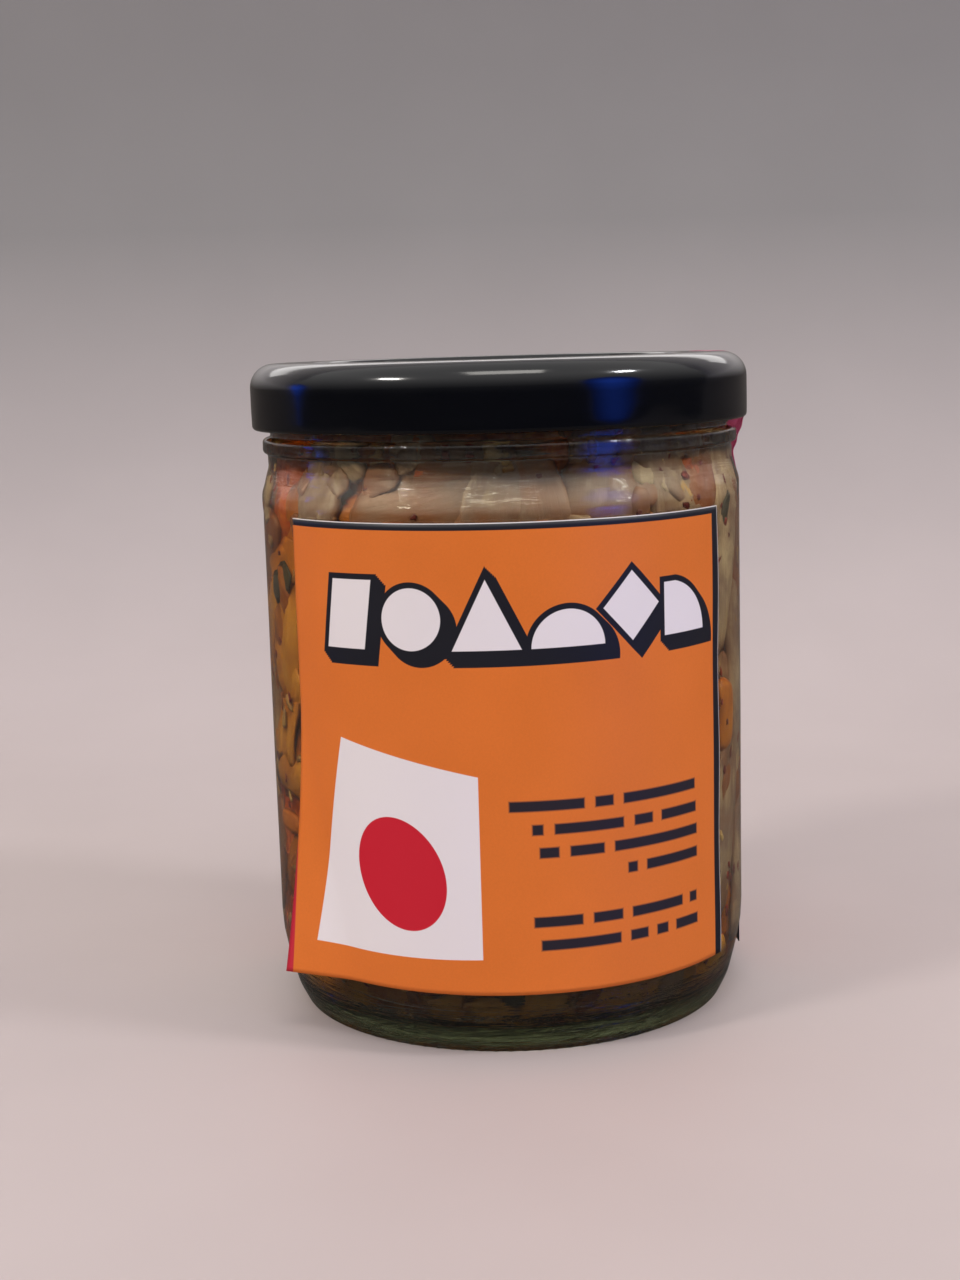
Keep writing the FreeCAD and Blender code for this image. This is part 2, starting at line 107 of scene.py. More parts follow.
camera = bpy.data.objects.new("camera", bpy.data.cameras.new("camera"))
bpy.context.scene.collection.objects.link(camera)
bpy.context.scene.camera = camera
camera.data.sensor_width = 36
camera.data.lens = 52.93
camera.data.clip_start = 0.01
ahead = Vector((0, math.cos(LOOK_DOWN), -math.sin(LOOK_DOWN)))
level_right = Vector((1, 0, 0))
level_up = level_right.cross(ahead)
right = level_right * math.cos(LEAN) + level_up * math.sin(LEAN)
up = level_up * math.cos(LEAN) - level_right * math.sin(LEAN)
turn = Matrix((right, up, -ahead)).transposed()
camera.matrix_world = Matrix.Translation(EYE) @ turn.to_4x4()

# %% [markdown]
# ## A small language for finishes
# A finish is a network of nodes. Written out node by node, a network is long and hard to read, so
# one class wraps a socket and lets Python's own signs add the Math nodes: `1 - mask` is a node. A
# second class holds the material and makes every other node through one method.

# %% Sockets that can be added and multiplied
class Wire:
    """The output of a node, which works in sums."""

    def __init__(self, finish, socket):
        self.finish = finish
        self.socket = socket

    def maths(self, operation, first, second=0.0):
        return self.finish.node("ShaderNodeMath", {"operation": operation}, {0: first, 1: second})

    def __add__(self, other):
        return self.maths("ADD", self, other)

    def __sub__(self, other):
        return self.maths("SUBTRACT", self, other)

    def __rsub__(self, other):
        return self.maths("SUBTRACT", other, self)

    def __mul__(self, other):
        return self.maths("MULTIPLY", self, other)

    def __abs__(self):
        return self.maths("ABSOLUTE", self)

    def at_least(self, other):
        return self.maths("MAXIMUM", self, other)

    def at_most(self, other):
        return self.maths("MINIMUM", self, other)

    __radd__ = __add__
    __rmul__ = __mul__


# %% A material and its nodes
def tone(red, green, blue):
    """A colour given as a screen shows it, 0 to 255, turned into the light that it stands for."""
    shown = [c / 255 for c in (red, green, blue)]
    linear = [c / 12.92 if c <= 10 / 255 else ((c + 0.055) / 1.055) ** 2.4 for c in shown]
    return (*linear, 1.0)


class Finish:
    """A material with one Principled shader, and the nodes that feed it."""

    def __init__(self, name, plain):
        self.material = bpy.data.materials.new(name)
        self.material.use_nodes = True
        self.tree = self.material.node_tree
        self.tree.nodes.clear()
        self.output = self.tree.nodes.new("ShaderNodeOutputMaterial")
        self.shader = self.tree.nodes.new("ShaderNodeBsdfPrincipled")
        self.tree.links.new(self.shader.outputs[0], self.output.inputs["Surface"])
        for socket, value in plain.items():
            self.set(socket, value)

    def feed(self, socket, value):
        if isinstance(value, Wire):
            self.tree.links.new(value.socket, socket)
        else:
            socket.default_value = value

    def set(self, socket, value):
        self.feed(self.shader.inputs[socket], value)

    def node(self, kind, settings=None, sockets=None, output=0):
        """Any node: its kind, its settings, then what its sockets hold or are linked to."""
        made = self.tree.nodes.new(kind)
        for name, value in (settings or {}).items():
            if name == "stops":
                ramp = made.color_ramp.elements
                while len(ramp) < len(value):
                    ramp.new(0.5)
                for stop, (position, colour) in zip(ramp, value):
                    stop.position = position
                    stop.color = colour
            else:
                setattr(made, name, value)
        for name, value in (sockets or {}).items():
            self.feed(made.inputs[name], value)
        return Wire(self, made.outputs[output]) if len(made.outputs) else None

    def place(self):
        """Where the surface is, in millimetres."""
        spot = self.node("ShaderNodeTexCoord", output="Object")
        return self.node("ShaderNodeVectorMath", {"operation": "SCALE"}, {0: spot, "Scale": 1 / MM})

    def noise(self, pitch, detail=2.0, rough=0.5, twist=0.0, where=None, stretch=(1, 1, 1)):
        """Cloudy values round 0.5, whose lumps are about pitch millimetres apart."""
        spot = self.place() if where is None else where
        spot = self.node("ShaderNodeVectorMath", {"operation": "MULTIPLY"}, {0: spot, 1: stretch})
        return self.node("ShaderNodeTexNoise", None, {
            "Vector": spot, "Scale": 1 / pitch, "Detail": detail, "Roughness": rough, "Distortion": twist})

    def fade(self, value, start, end):
        """0 where the value is at start, 1 at end, and held outside."""
        return self.node("ShaderNodeMapRange", None, {"Value": value, "From Min": start, "From Max": end})

    def blend(self, share, first, second, way="MIX"):
        """Two colours mixed."""
        return self.node("ShaderNodeMix", {"data_type": "RGBA", "blend_type": way},
                         {0: share, 6: first, 7: second}, output=2)

    def ramp(self, value, *stops):
        """A colour for each value, from (position, colour) stops."""
        return self.node("ShaderNodeValToRGB", {"stops": stops}, {0: value})

    def bump(self, height, depth, strength=1.0):
        """Turns a value into relief that is depth millimetres high."""
        self.set("Normal", self.node("ShaderNodeBump", None, {
            "Height": height, "Distance": depth * MM, "Strength": strength}))

    def clear(self, tint, density, colour):
        """Makes a see-through finish: lamps shine in through it, and its depth takes out colour."""
        path = self.node("ShaderNodeLightPath", output="Is Shadow Ray")
        open_way = self.node("ShaderNodeBsdfTransparent", None, {"Color": tint})
        solid = Wire(self, self.shader.outputs[0])
        both = self.node("ShaderNodeMixShader", None, {0: path, 1: solid, 2: open_way})
        self.tree.links.new(both.socket, self.output.inputs["Surface"])
        depth = self.node("ShaderNodeVolumeAbsorption", None, {"Color": colour, "Density": density})
        self.tree.links.new(depth.socket, self.output.inputs["Volume"])


# %% [markdown]
# ## Turned shapes
# Glass, lid and filling are all round, so each is an outline turned about the upright axis. A lathe
# would leave them perfect; real pressed and blown things are not, so a relief function may push
# every point in or out a little before the mesh is made.

# %% Outline with rounded corners
ARC_STEP = math.radians(9)


def rounded(corners, step):
    """Points of an outline through (radius, height, round) corners, at most step apart."""
    points = []
    for number, (across, height, radius) in enumerate(corners):
        here = Vector((across, height))
        if not radius:
            points.append(here)
            continue
        back = (Vector(corners[number - 1][:2]) - here).normalized()
        on = (Vector(corners[number + 1][:2]) - here).normalized()
        half = back.angle(on) / 2
        centre = here + (back + on).normalized() * (radius / math.sin(half))
        first = here + back * (radius / math.tan(half)) - centre
        last = here + on * (radius / math.tan(half)) - centre
        count = max(2, math.ceil((math.pi - 2 * half) / ARC_STEP))
        points += [centre + first.slerp(last, i / count) * radius for i in range(count + 1)]
    filled = [points[0]]
    for point in points[1:]:
        count = max(1, math.ceil((point - filled[-1]).length / step))
        start = filled[-1]
        filled += [start.lerp(point, i / count) for i in range(1, count + 1)]
    return filled


# %% Turn an outline into a mesh
def finished(name, points, faces, finish, slot, replaced, marks=()):
    """Makes a piece of points in millimetres, closes its seams, and puts it in the frame.
    Marks are (name, value for each point) pairs that its finish can read."""
    mesh = bpy.data.meshes.new(name)
    mesh.from_pydata(np.asarray(points, float) * MM, [], faces)
    for mark, values in marks:
        values = np.asarray(values, float)
        kind = "FLOAT" if values.ndim == 1 else "FLOAT_VECTOR"
        field = "value" if values.ndim == 1 else "vector"
        mesh.attributes.new(mark, kind, "POINT").data.foreach_set(field, values.ravel())
    shape = bmesh.new()
    shape.from_mesh(mesh)
    bmesh.ops.remove_doubles(shape, verts=shape.verts, dist=1e-7)
    bmesh.ops.dissolve_degenerate(shape, edges=shape.edges, dist=1e-8)
    bmesh.ops.recalc_face_normals(shape, faces=shape.faces)
    shape.to_mesh(mesh)
    shape.free()
    mesh.polygons.foreach_set("use_smooth", [True] * len(mesh.polygons))
    mesh.materials.append(finish.material)
    piece = bpy.data.objects.new(name, mesh)
    bpy.context.scene.collection.objects.link(piece)
    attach(piece, "root")
    for node in replaced:
        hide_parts(node)
    print(f"{name}: {len(mesh.polygons)} faces")
    return piece


def turned(outline, columns, relief):
    """Points and faces of an outline turned about the axis, with relief(radius, height, azimuth) added."""
    radius = np.array([p.x for p in outline])[:, None] + np.zeros((1, columns))
    height = np.array([p.y for p in outline])[:, None] + np.zeros((1, columns))
    azimuth = np.linspace(0, 2 * math.pi, columns, endpoint=False)[None, :] + 0 * radius
    out, lift = relief(radius, height, azimuth)
    out = np.where(radius > 0.01, radius + out, 0)
    spots = np.stack([out * np.sin(azimuth), -out * np.cos(azimuth), height + lift], axis=-1)
    faces = []
    for row in range(len(outline) - 1):
        for column in range(columns):
            beside = (column + 1) % columns
            faces.append((row * columns + column, row * columns + beside,
                          (row + 1) * columns + beside, (row + 1) * columns + column))
    return spots.reshape(-1, 3), faces


def swell(azimuth, height, seed, turns, pitch, count=14, level=0.0):
    """Soft unevenness round a jar, about -1 to 1: waves of up to turns a round and pitch mm upright.
    The nearer level is to 1, the more the waves lie level."""
    rng = np.random.default_rng(seed)
    total = 0 * azimuth
    for _ in range(count):
        around = rng.integers(1, turns + 1) * rng.choice((-1, 1))
        upright = rng.uniform(level, 1) * rng.choice((-1, 1)) * 2 * math.pi / pitch
        total = total + np.sin(around * azimuth + upright * height + rng.uniform(0, 2 * math.pi))
    return total / math.sqrt(count)


def window(value, start, end, soft):
    """1 from start to end, easing to 0 over soft on both sides."""
    return np.clip((value - start) / soft + 1, 0, 1) * np.clip((end - value) / soft + 1, 0, 1)


def off_lug(azimuth):
    """Degrees from the middle of the nearest lug."""
    pitch = 360 / LUGS
    return (np.degrees(azimuth) - FIRST_LUG + pitch / 2) % pitch - pitch / 2


# %% [markdown]
# ## Glass
# A moulded jar is thick, faintly green, and never quite even: the mould leaves ripples at the
# shoulder, a transfer bead under the thread and a ring of small grips on the foot. The wall could be
# a single skin with a glass shader, but only a closed body with an inside and an outside bends light
# as a wall does, so the outline runs up the outside, over the rim and down the inside.

# %% Glass wall
FOOT_RING = 2.8
PUSH_UP = 1.2
FLOOR = 3.9
INNER_HEEL = HEEL - WALL - 1.2
glass_outside = [
    (0, PUSH_UP, 0), (FOOT - FOOT_RING - PUSH_UP, PUSH_UP, 0.8), (FOOT - FOOT_RING, 0, 0.7),
    (FOOT, 0, 0.7), (HEEL, 3.2, 7.0), (LIP, 12.6, 28.0), (BODY, SHOULDER_FOOT, 4.0),
    (WAIST, SHOULDER_TOP, 2.6), (WAIST, BEAD - 1.45, 0.5), (WAIST + 0.85, BEAD - 1.1, 0.75),
    (WAIST + 0.85, BEAD + 1.1, 0.75), (FINISH, BEAD + 1.5, 0.5), (FINISH, RIM, 0.9), (BORE, RIM, 0.9),
]
glass_inside = [
    (BORE, SHOULDER_TOP - WALL / 2, 4.0), (BODY - WALL, SHOULDER_FOOT - WALL / 2, 4.0),
    (LIP - WALL, 12.6, 0), (INNER_HEEL, FLOOR, 6.5), (0, FLOOR + 0.6, 0),
]


def inner_waves(azimuth, height):
    """The slow unevenness of the inside of the wall, which the brine repeats."""
    waves = 0.10 * swell(azimuth, height, 9, 14, 26) + 0.02 * swell(azimuth, height, 10, 45, 8)
    return window(height, 12, SHOULDER_TOP, 4) * waves


def thread_and_ripples(radius, height, azimuth):
    """Ridges round the mouth, ripples at the shoulder, a slow wave in the wall, grips on the foot."""
    outside = np.where(np.arange(len(radius))[:, None] < rim_row, 1.0, 0.0)
    run = off_lug(azimuth)
    along = np.radians(run) * FINISH
    ridge_height = THREAD_LEVEL + 5.0 / 36.2 * along
    ridge = np.clip(1 - ((height - ridge_height) / 1.15) ** 2, 0, 1) ** 0.8 * window(run, -22, 22, 4)
    ridge = ridge * (height > BEAD + 2)
    shoulder = window(height, SHOULDER_FOOT - 2, BEAD - 3, 3)
    ripples = shoulder * (0.06 * swell(azimuth, height, 5, 16, 4.2, level=0.5)
                          + 0.03 * swell(azimuth, height, 6, 50, 2.4, level=0.4))
    wall = 0.02 * swell(azimuth, height, 7, 9, 40) + 0.006 * swell(azimuth, height, 8, 50, 9)
    wall = wall * window(height, 7, SHOULDER_TOP, 3)
    inner = (1 - outside) * inner_waves(azimuth, height)
    out = outside * (0.95 * ridge + ripples + wall) + inner
    on_ring = (radius > FOOT - FOOT_RING) * (height < 0.2) * outside
    grips = 0.16 * on_ring * (0.5 + 0.5 * np.cos(azimuth * GLASS_COLUMNS / 4))
    return out, grips


GLASS_COLUMNS = 384
glass_outline = rounded(glass_outside + glass_inside, 1.0)
rim_row = max(range(len(glass_outline)), key=lambda row: (glass_outline[row].y, -glass_outline[row].x))
inner_wall = sorted((p.y, p.x) for p in glass_outline[rim_row:] if p.x > 25)
inner_heights, inner_radii = zip(*inner_wall)


def bore(height):
    """Radius of the inside of the glass at a height."""
    return np.interp(height, inner_heights, inner_radii)


# %% Glass finish
glass = Finish("clear_glass", {"Base Color": (0.97, 0.99, 0.975, 1), "Transmission Weight": 1.0, "IOR": 1.5})
glass.set("Roughness", glass.fade(glass.noise(9, 4, 0.65), 0.55, 0.85) * 0.08 + 0.005)
height = glass.node("ShaderNodeSeparateXYZ", None, {0: glass.place()}, output="Z")
at_base = glass.fade(height, 10.5, 8.0)
at_shoulder = glass.fade(height, SHOULDER_FOOT - 3, SHOULDER_FOOT + 1)
streaks = glass.noise(1.5, 3, 0.6, 1.5, stretch=(0.08, 0.08, 1))
glass.bump(glass.noise(5, 2, 0.5) * 0.02 + streaks * (at_base * 0.5 + at_shoulder * 0.10), 1.0)
glass.clear((0.97, 0.97, 0.95, 1), 32, (0.52, 0.60, 0.30, 1))
glass_points, glass_faces = turned(glass_outline, GLASS_COLUMNS, thread_and_ripples)
finished("glass_wall", glass_points, glass_faces, glass, "glass", ["glass_jar"])

# %% [markdown]
# ## Lid
# The lid is one disc of tinplate pressed into shape: a sunk panel with a ring step, a crest that
# seats on the rim, a rounded edge, a skirt, and a lower edge rolled under and pushed in at six
# places to make the lugs. Each push leaves a shallow dent outside. Turning the whole section, steel
# thickness and all, gives the curl and the dents their true shadows.

# %% Pressed lid
STEEL = 0.4
LID_ROUND = 4.1
CREST_IN = LID_RADIUS - LID_ROUND - 7.0
PANEL = LID_CREST - 1.3
STEP_RING = CREST_IN - 5.6
lid_outside = [
    (0, PANEL + 0.45, 0), (STEP_RING, PANEL + 0.45, 0.35), (STEP_RING + 0.45, PANEL, 0.35),
    (CREST_IN - 1.2, PANEL, 0.6), (CREST_IN, LID_CREST, 0.65), (LID_RADIUS, LID_CREST, LID_ROUND),
    (LID_RADIUS, LID_EDGE, 0.72), (LID_RADIUS - 1.5, LID_EDGE, 0.72),
    (LID_RADIUS - 1.5, LID_EDGE + 1.5, 0.5), (LID_RADIUS - STEEL, LID_EDGE + 1.7, 0.1),
]
lid_inside = [
    (LID_RADIUS - STEEL, RIM, LID_ROUND - STEEL), (CREST_IN + STEEL, RIM, 0.3),
    (CREST_IN - 0.8, PANEL - STEEL, 0.3), (STEP_RING + 0.05, PANEL - STEEL, 0.1),
    (STEP_RING - 0.4, PANEL + 0.05, 0.1), (0, PANEL + 0.05, 0),
]


def lugs_and_dents(radius, height, azimuth):
    """The curl pushed in at each lug, the dent outside it, and the faint unevenness of pressed tin."""
    run = np.radians(off_lug(azimuth)) * LID_RADIUS
    curl_inside = (radius < LID_RADIUS - 0.9) * (height < LID_EDGE + 1.6) * (radius > LID_RADIUS - 2)
    lug = -1.1 * curl_inside * window(run, -3, 3, 1.5)
    skirt = (radius > LID_RADIUS - 0.5) * (height < LID_CREST - 1)
    oval = (run / 8.5) ** 2 + ((height - LID_EDGE - 0.3) / 3.2) ** 2
    dent = -0.08 * skirt * np.clip(1 - oval, 0, 1) ** 1.5
    sway = 0.035 * swell(azimuth, height, 21, 9, 30) + 0.008 * swell(azimuth, height, 22, 40, 8)
    sway = sway * window(height, LID_EDGE + 1.5, LID_CREST - 1, 2) * (radius > CREST_IN)
    return lug + dent + sway, 0 * radius


lacquer = Finish("black_lacquer", {
    "Base Color": tone(6, 7, 12), "IOR": 1.5})
scuffs = lacquer.noise(2.4, 6, 0.7)
smears = lacquer.noise(16, 3, 0.6, stretch=(1, 1, 2.5))
smeared = lacquer.fade(smears, 0.35, 0.75) * 0.08
scuffed = lacquer.fade(scuffs, 0.66, 0.74) * 0.10
lacquer.set("Roughness", smeared + scuffed + 0.09)
lacquer.bump(lacquer.noise(0.9, 3, 0.6), 0.01, 0.25)
finished("twist_lid", *turned(rounded(lid_outside + lid_inside, 1.2), 384, lugs_and_dents),
         lacquer, "lid_lacquer", ["lid"])

# %% [markdown]
# ## Paper
# Labels are thin sheets that follow the glass. A sheet is built as a grid that knows its own
# flat size: each point carries, as its UV, how far along and how far up the paper it is, in
# centimetres. The print can then be drawn on the flat sheet and still wrap, lift and ripple with it.

# %% A wrapped sheet
PAPER = 0.16
GLUE = 0.06


def glass_side(height):
    """Outside of the straight wall at a height."""
    return LIP + 0.1 * np.clip((height - 12.6) / (SHOULDER_FOOT - 12.6), 0, 1)


def paper_sheet(name, columns, rows, spot, size_of, finish, slot, node):
    """A sheet of two skins and four edges. Spot(across, up, out) gives its points, and
    size_of(across, up) their places on the flat print."""
    across, up = np.meshgrid(np.linspace(0, 1, columns), np.linspace(0, 1, rows))
    skins = [spot(across, up, out).reshape(-1, 3) for out in (0, PAPER)]
    faces = []
    border = [(c, 0) for c in range(columns)] + [(columns - 1, r) for r in range(1, rows)]
    border += [(c, rows - 1) for c in range(columns - 2, -1, -1)] + [(0, r) for r in range(rows - 2, 0, -1)]
    for skin in (0, columns * rows):
        for row in range(rows - 1):
            for column in range(columns - 1):
                corner = skin + row * columns + column
                faces.append((corner, corner + 1, corner + columns + 1, corner + columns))
    for (c0, r0), (c1, r1) in zip(border, border[1:] + border[:1]):
        first, second = r0 * columns + c0, r1 * columns + c1
        faces.append((first, second, second + columns * rows, first + columns * rows))
    piece = finished(name, np.concatenate(skins), faces, finish, slot, [node])
    place = np.stack(size_of(across, up), axis=-1).reshape(-1, 2) * 0.1
    layer = piece.data.uv_layers.new(name="flat")
    spots = np.concatenate([place, place])
    corners = np.zeros(len(piece.data.loops), int)
    piece.data.loops.foreach_get("vertex_index", corners)
    layer.data.foreach_set("uv", spots[corners].ravel())
    return piece


# %% [markdown]
# ## Print
# The front label is one flat orange, with a black line along its top and right edges, a row of bold
# white shapes with deep black shadows, a white sheet with a red oval, and small dark lines to the
# right. Nothing on it is a word. Each shape is a distance: negative inside it and positive outside,
# so one soft step turns it into a mask, and moving the distance makes an outline or a shadow.

# %% Shapes as distances
def span_of(value, low, high):
    """Distance from the stretch between two values."""
    return abs(value - (low + high) / 2) - (high - low) / 2


def bar(u, v, left, right, low, high):
    return span_of(u, left, right).at_least(span_of(v, low, high))


def disc(u, v, radius):
    squares = u * u + v * v
    return squares.maths("SQRT", squares) - radius


def slope(u, v, start, end):
    """Distance outside the line from start to end, whose inside is on its left."""
    run = Vector(end) - Vector(start)
    run.normalize()
    return u * run.y - v * run.x - (start[0] * run.y - start[1] * run.x)


def many_sided(u, v, corners):
    """Shape whose corners go round against the clock."""
    total = None
    for start, end in zip(corners, corners[1:] + corners[:1]):
        side = slope(u, v, start, end)
        total = side if total is None else total.at_least(side)
    return total


# %% Ink on the front label
INK = tone(20, 19, 30)
PAPER_WHITE = tone(236, 228, 230)
ORANGE = tone(226, 116, 35)
SHAPE_LEVEL = 72.7
OVAL_HALF = 7.58
OVAL_HALF_LONG = 9.69
LABEL_TURN = math.radians(0.7)
LABEL_ARC = math.radians(112.6)
LABEL_LEFT = (LABEL_TURN - LABEL_ARC / 2) * BODY
LABEL_RIGHT = (LABEL_TURN + LABEL_ARC / 2) * BODY


def row_of_shapes(u, v):
    """Six bold plain shapes in a row, as one distance."""
    v = v - u * 0.012 - SHAPE_LEVEL
    tall, low = 6.0, -5.2
    shapes = [
        many_sided(u, v, [(-31.8, low), (-24.0, low), (-22.4, tall), (-30.2, tall)]),
        disc(u + 15.6, v + 0.2, 5.0),
        many_sided(u, v, [(-8.9, low), (2.1, low), (-3.4, tall)]),
        disc(u - 9.6, v + 5.2, 6.0).at_least(-5.2 - v),
        many_sided(u, v, [(20.6, low), (25.8, 0.4), (20.6, tall), (15.4, 0.4)]),
        disc(u - 27.6, v + 5.2, 8.8).at_least(27.0 - u).at_least(-5.2 - v).at_least(v - tall + 2.6),
    ]
    total = shapes[0]
    for shape in shapes[1:]:
        total = total.at_most(shape)
    return total


def flat_place(finish):
    """Place on the flat sheet in millimetres: across from the front, and up from the ground."""
    uv = finish.node("ShaderNodeUVMap", {"uv_map": "flat"})
    across = finish.node("ShaderNodeSeparateXYZ", None, {0: uv}, output=0)
    height = finish.node("ShaderNodeSeparateXYZ", None, {0: uv}, output=1)
    return across * 10, height * 10


def inked(finish, distance, soft=0.05):
    return finish.fade(distance, soft, -soft)


def paper_finish(name, colour, sheen):
    """Coated paper: a slight mottle in the ink, fine fibres in the surface, and a satin sheen."""
    paper = Finish(name, {"IOR": 1.45, "Coat Weight": sheen, "Coat Roughness": 0.3})
    mottle = paper.noise(0.35, 3, 0.7) - 0.5
    clouds = paper.noise(14, 2, 0.5) - 0.5
    shade = paper.fade(mottle * 0.55 + clouds * 0.5, -0.5, 0.5)
    thin_ink = (*[c * 0.86 for c in colour[:3]], 1)
    full_ink = (*[min(c * 1.13, 1) for c in colour[:3]], 1)
    ink = paper.blend(shade, thin_ink, full_ink)
    paper.set("Roughness", paper.fade(clouds, -0.2, 0.2) * 0.08 + 0.46)
    paper.bump(paper.noise(0.22, 4, 0.75), 0.02, 0.5)
    return paper, ink


def word_lines(finish, u, v, lines, thick):
    """Short dark bars in lines, as small print looks from afar."""
    total = None
    for height, words in lines:
        row = None
        for left, right in words:
            word = span_of(u, left, right)
            row = word if row is None else row.at_most(word)
        line = row.at_least(span_of(v, height - thick / 2, height + thick / 2))
        total = line if total is None else total.at_most(line)
    return inked(finish, total, 0.16)


front_paper, front_ink = paper_finish("front_paper", ORANGE, 0.12)
u, v = flat_place(front_paper)
tilt = math.radians(25)
oval_u, oval_v = u + 18.9, v - 30.7
oval_long = (oval_v * math.cos(tilt) - oval_u * math.sin(tilt)) * (OVAL_HALF / OVAL_HALF_LONG)
oval_short = oval_u * math.cos(tilt) + oval_v * math.sin(tilt)
bow = abs(v - 34.5) * abs(v - 34.5) * 0.0016
sag = abs(u + 21) * abs(u + 21) * 0.001
panel = slope(u - bow, v, (-30.3, 52.5), (-36.4, 16.9))
panel = panel.at_least(slope(u, v, (-5.4, 47.2), (-30.6, 52.5))).at_least(u + 5.35)
panel = panel.at_least(16.9 + sag - v)
shadow = row_of_shapes(u, v)
for step in (0.28, 0.56, 0.84, 1.12, 1.4, 1.68):
    shadow = shadow.at_most(row_of_shapes(u - step, v + step))
top_line = v - (LABEL_HEAD - 1.15)
right_line = u - (LABEL_RIGHT - 1.9)
small_print = word_lines(front_paper, u, v, [
    (42.3, [(-0.6, 11.6), (13.4, 16.6), (18.4, 33.8)]),
    (38.4, [(3.0, 4.8), (6.6, 18.4), (20.4, 24.0), (25.8, 34.0)]),
    (34.6, [(4.1, 7.3), (9.1, 14.9), (16.7, 34.2)]),
    (30.7, [(19.1, 20.9), (22.7, 34.2)]),
    (23.2, [(3.0, 11.0), (12.8, 18.0), (19.8, 30.4), (32.2, 34.0)]),
    (19.3, [(4.1, 17.6), (19.4, 22.8), (24.6, 27.0), (28.8, 34.2)]),
], 1.75)
coloured = front_paper.blend(inked(front_paper, panel), front_ink, PAPER_WHITE)
oval = inked(front_paper, disc(oval_short, oval_long, OVAL_HALF))
coloured = front_paper.blend(oval, coloured, tone(206, 8, 40))
coloured = front_paper.blend(inked(front_paper, shadow - 0.95), coloured, INK)
coloured = front_paper.blend(inked(front_paper, row_of_shapes(u, v)), coloured, PAPER_WHITE)
coloured = front_paper.blend(small_print, coloured, tone(38, 30, 40))
edge_lines = front_paper.fade(top_line, -0.05, 0.05).at_least(front_paper.fade(right_line, -0.05, 0.05))
coloured = front_paper.blend(edge_lines, coloured, INK)
cut_edge = front_paper.fade(v - (LABEL_HEAD - 0.14), -0.03, 0.03).at_least(
    front_paper.fade(u - (LABEL_RIGHT - 0.16), -0.03, 0.03))
coloured = front_paper.blend(cut_edge, coloured, tone(205, 200, 200))
red_edge = front_paper.fade(u - LABEL_LEFT - (34 - v) * 0.045, 0.04, -0.04)
coloured = front_paper.blend(red_edge, coloured, tone(196, 30, 52))
front_paper.set("Base Color", coloured)


# %% Front label
def front_stand_off(across, up):
    """The lower corner on the left has come away; the right edge ripples; the rest waves faintly."""
    loose = np.clip(1 - across * 112.6 / 17.6 - up * (LABEL_HEAD - LABEL_FOOT) / 46, 0, None)
    edge = np.clip((across - 0.93) / 0.07, 0, None)
    ripple = 0.22 * edge ** 2 * (0.5 + 0.5 * np.sin(2 * math.pi * 2.6 * up + 0.6))
    waves = 0.03 * (1 + np.sin(9 * across + 5 * up) * np.sin(14 * up + 2 * across))
    return 5.1 * loose ** 1.65 + ripple + waves


def on_glass(left, arc, foot, head, stand_off):
    """Function that lays a sheet on the glass between two azimuths and two heights."""
    def spot(across, up, out):
        azimuth = left + arc * across
        height = foot + (head - foot) * up
        radius = glass_side(height) + GLUE + out + stand_off(across, up)
        return np.stack([radius * np.sin(azimuth), -radius * np.cos(azimuth), height], axis=-1)

    def size_of(across, up):
        return (left + arc * across) * BODY, foot + (head - foot) * up

    return spot, size_of


front_spot, front_size = on_glass(
    LABEL_TURN - LABEL_ARC / 2, LABEL_ARC, LABEL_FOOT, LABEL_HEAD, front_stand_off)
paper_sheet("front_label_paper", 150, 100, front_spot, front_size, front_paper, "label_paper", "front_label")

# %% [markdown]
# ## Back label
# It comes from the same roll: orange, with the same black line round it, one white field with a
# ruled table, and lines of small print, none of them words.

# %% Back label
BACK_TURN = math.radians(172.5)
BACK_ARC = math.radians(160)
back_paper, back_ink = paper_finish("back_paper", ORANGE, 0.12)
u, v = flat_place(back_paper)
u = u - BACK_TURN * BODY
half = BACK_ARC / 2 * BODY
frame_line = (v - (BACK_HEAD - 1.15)).at_least(abs(u) - (half - 1.9))
table = bar(u, v, 8, 44, 16, 60)
rules = None
for number in range(9):
    rule = span_of(v, 20.6 + number * 4.4, 21.0 + number * 4.4).at_least(span_of(u, 10, 42))
    rules = rule if rules is None else rules.at_most(rule)
back_lines = []
for number in range(10):
    start = -46 + (number * 7) % 5
    widths = [6 + (number * 5 + word * 3) % 9 for word in range(4)]
    words = []
    for width in widths:
        if start + width < 5:
            words.append((start, start + width))
        start += width + 1.8
    back_lines.append((60 - number * 4.4, words))
coloured = back_paper.blend(inked(back_paper, table), back_ink, PAPER_WHITE)
coloured = back_paper.blend(inked(back_paper, rules), coloured, INK)
coloured = back_paper.blend(word_lines(back_paper, u, v, back_lines, 1.6), coloured, tone(38, 30, 40))
coloured = back_paper.blend(back_paper.fade(frame_line, -0.05, 0.05), coloured, INK)
back_paper.set("Base Color", coloured)
back_spot, back_size = on_glass(
    BACK_TURN - BACK_ARC / 2, BACK_ARC, BACK_FOOT, BACK_HEAD,
    lambda across, up: 0.03 * (1 + np.sin(11 * across + 3) * np.sin(8 * up)))
paper_sheet("back_label_paper", 180, 80, back_spot, back_size, back_paper, "label_paper", "back_label")

# %% [markdown]
# ## Paper seal
# A strip of dark red paper is glued from the top of the lid, down its skirt and onto the glass.
# It can't be pressed into the neck, so it bridges it, and it creases a little where it turns.

